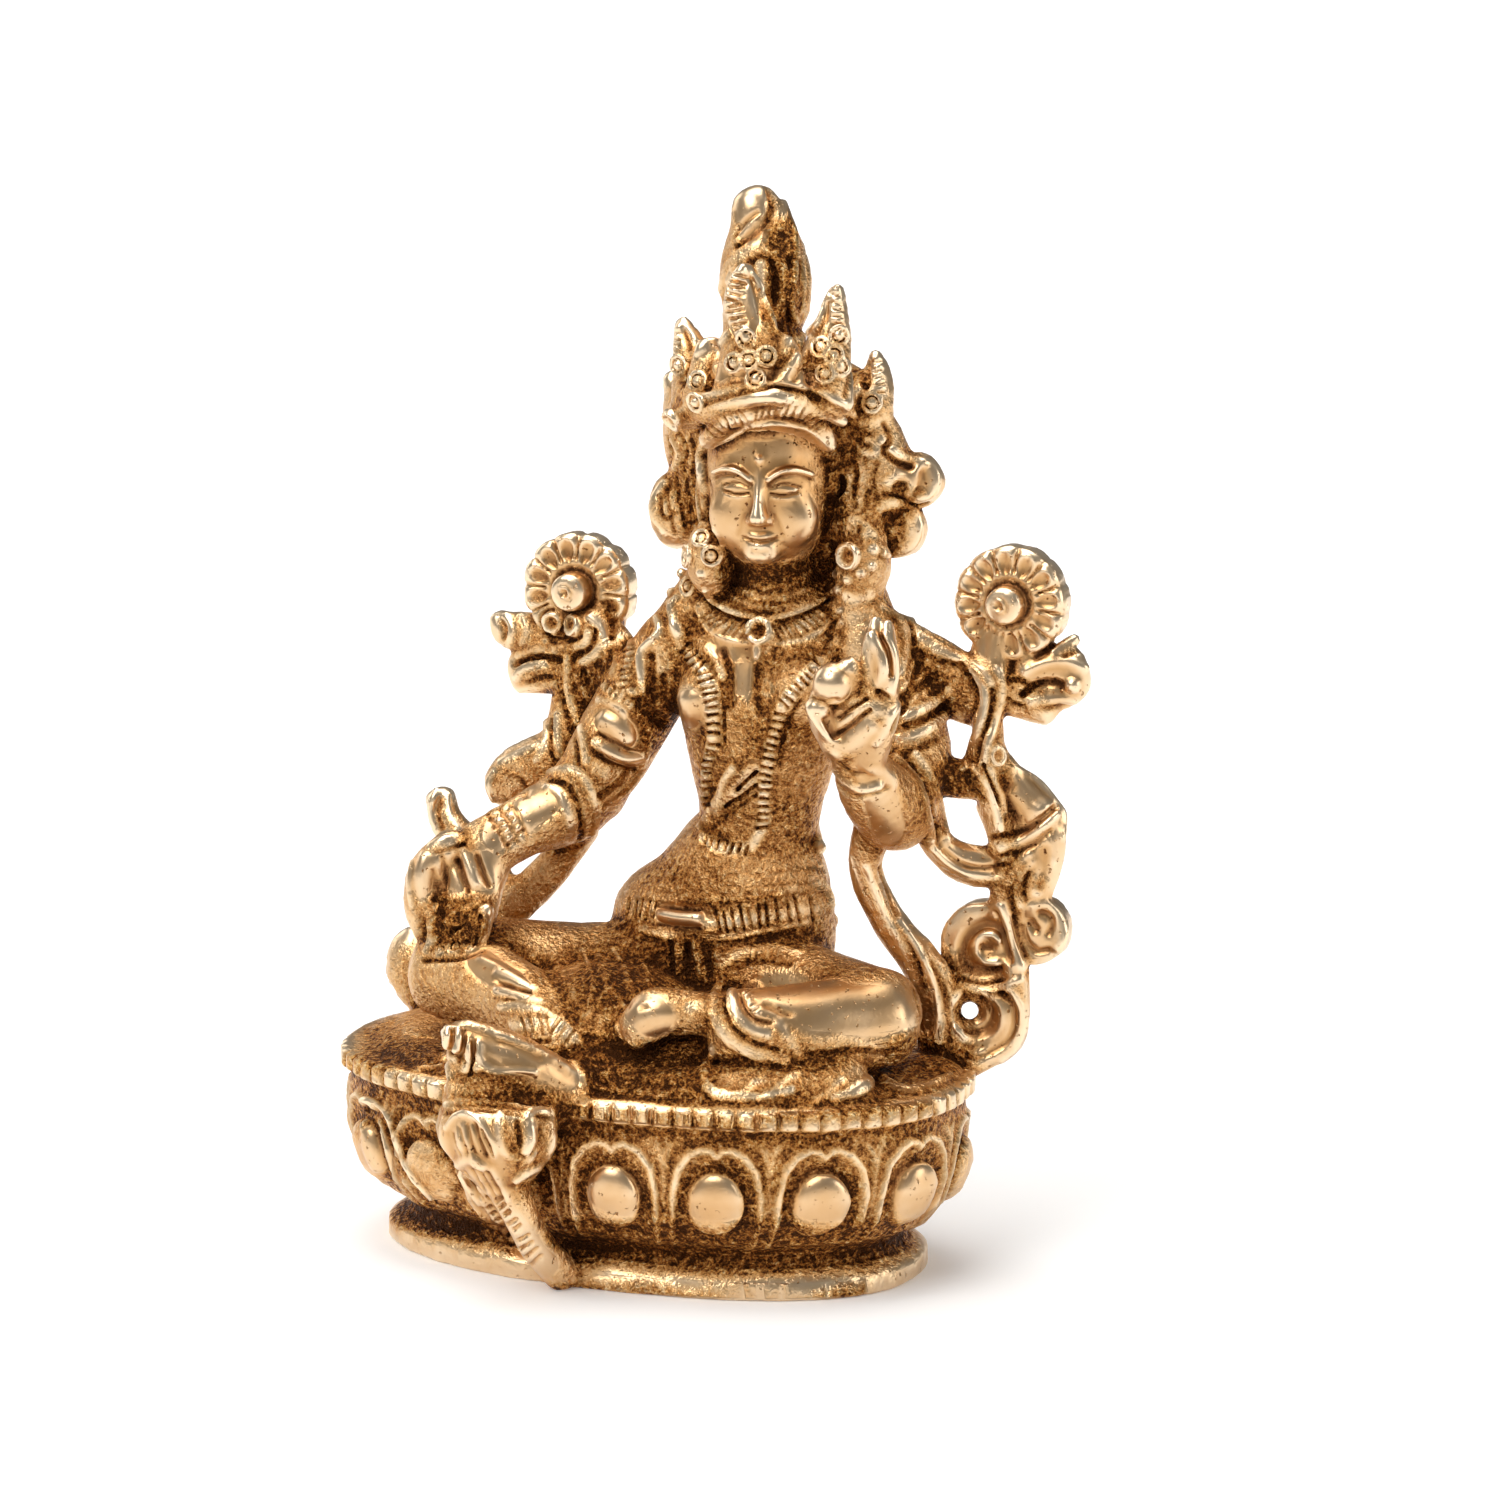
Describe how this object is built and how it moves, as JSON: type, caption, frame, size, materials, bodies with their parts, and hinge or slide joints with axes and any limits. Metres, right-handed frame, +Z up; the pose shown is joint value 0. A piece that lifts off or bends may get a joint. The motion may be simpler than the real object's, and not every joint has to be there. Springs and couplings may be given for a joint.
{
  "type": "seated tara figure",
  "caption": "Small cast brass figure of a seated goddess in royal ease on an oval lotus plinth, with lotus flowers at both shoulders.",
  "frame": {"origin": "middle of the plinth's flat underside, on the surface it stands on", "axes": "+Z up, -Y is the front that the figure faces, +X is the figure's left"},
  "size_m": [0.0643, 0.039, 0.0901],
  "materials": {
    "cast_brass": "antiqued cast brass: bright and rubbed on raised forms, brown to black in the hollows, with a pitted, granular casting skin"
  },
  "bodies": {
    "root": {"tara_figure": "cast_brass"}
  },
  "joints": []
}
